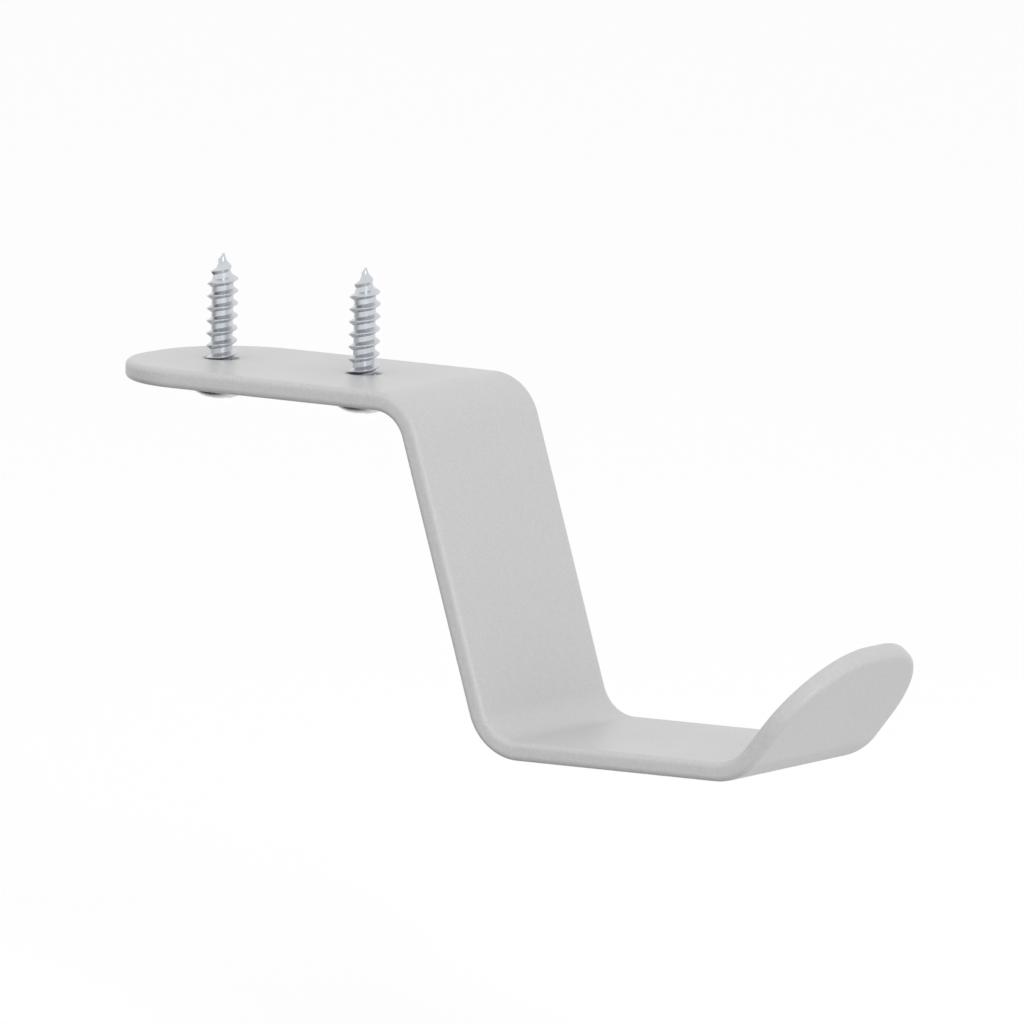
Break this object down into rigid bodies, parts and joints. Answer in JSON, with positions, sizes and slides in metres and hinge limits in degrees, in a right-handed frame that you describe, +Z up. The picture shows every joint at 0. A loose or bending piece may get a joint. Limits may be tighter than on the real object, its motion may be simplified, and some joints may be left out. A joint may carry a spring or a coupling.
{
  "type": "headphone hook",
  "caption": "Bent steel strip hook that screws under a desk's front edge and holds a headset on a level seat with an upturned round tip.",
  "frame": {"origin": "on the flange's upper face, which meets the desk's underside, midway between the two screws", "axes": "+X across the strip, +Y back under the desk, +Z up into the desk; the hook opens forwards, towards -Y"},
  "size_m": [0.0286, 0.1121, 0.0584],
  "materials": {
    "powder_coat": "fine satin powder coat, light silver grey",
    "zinc": "bright zinc plate"
  },
  "bodies": {
    "root": {"hook_strip": "powder_coat", "screw_front": "zinc", "screw_back": "zinc"}
  },
  "joints": []
}
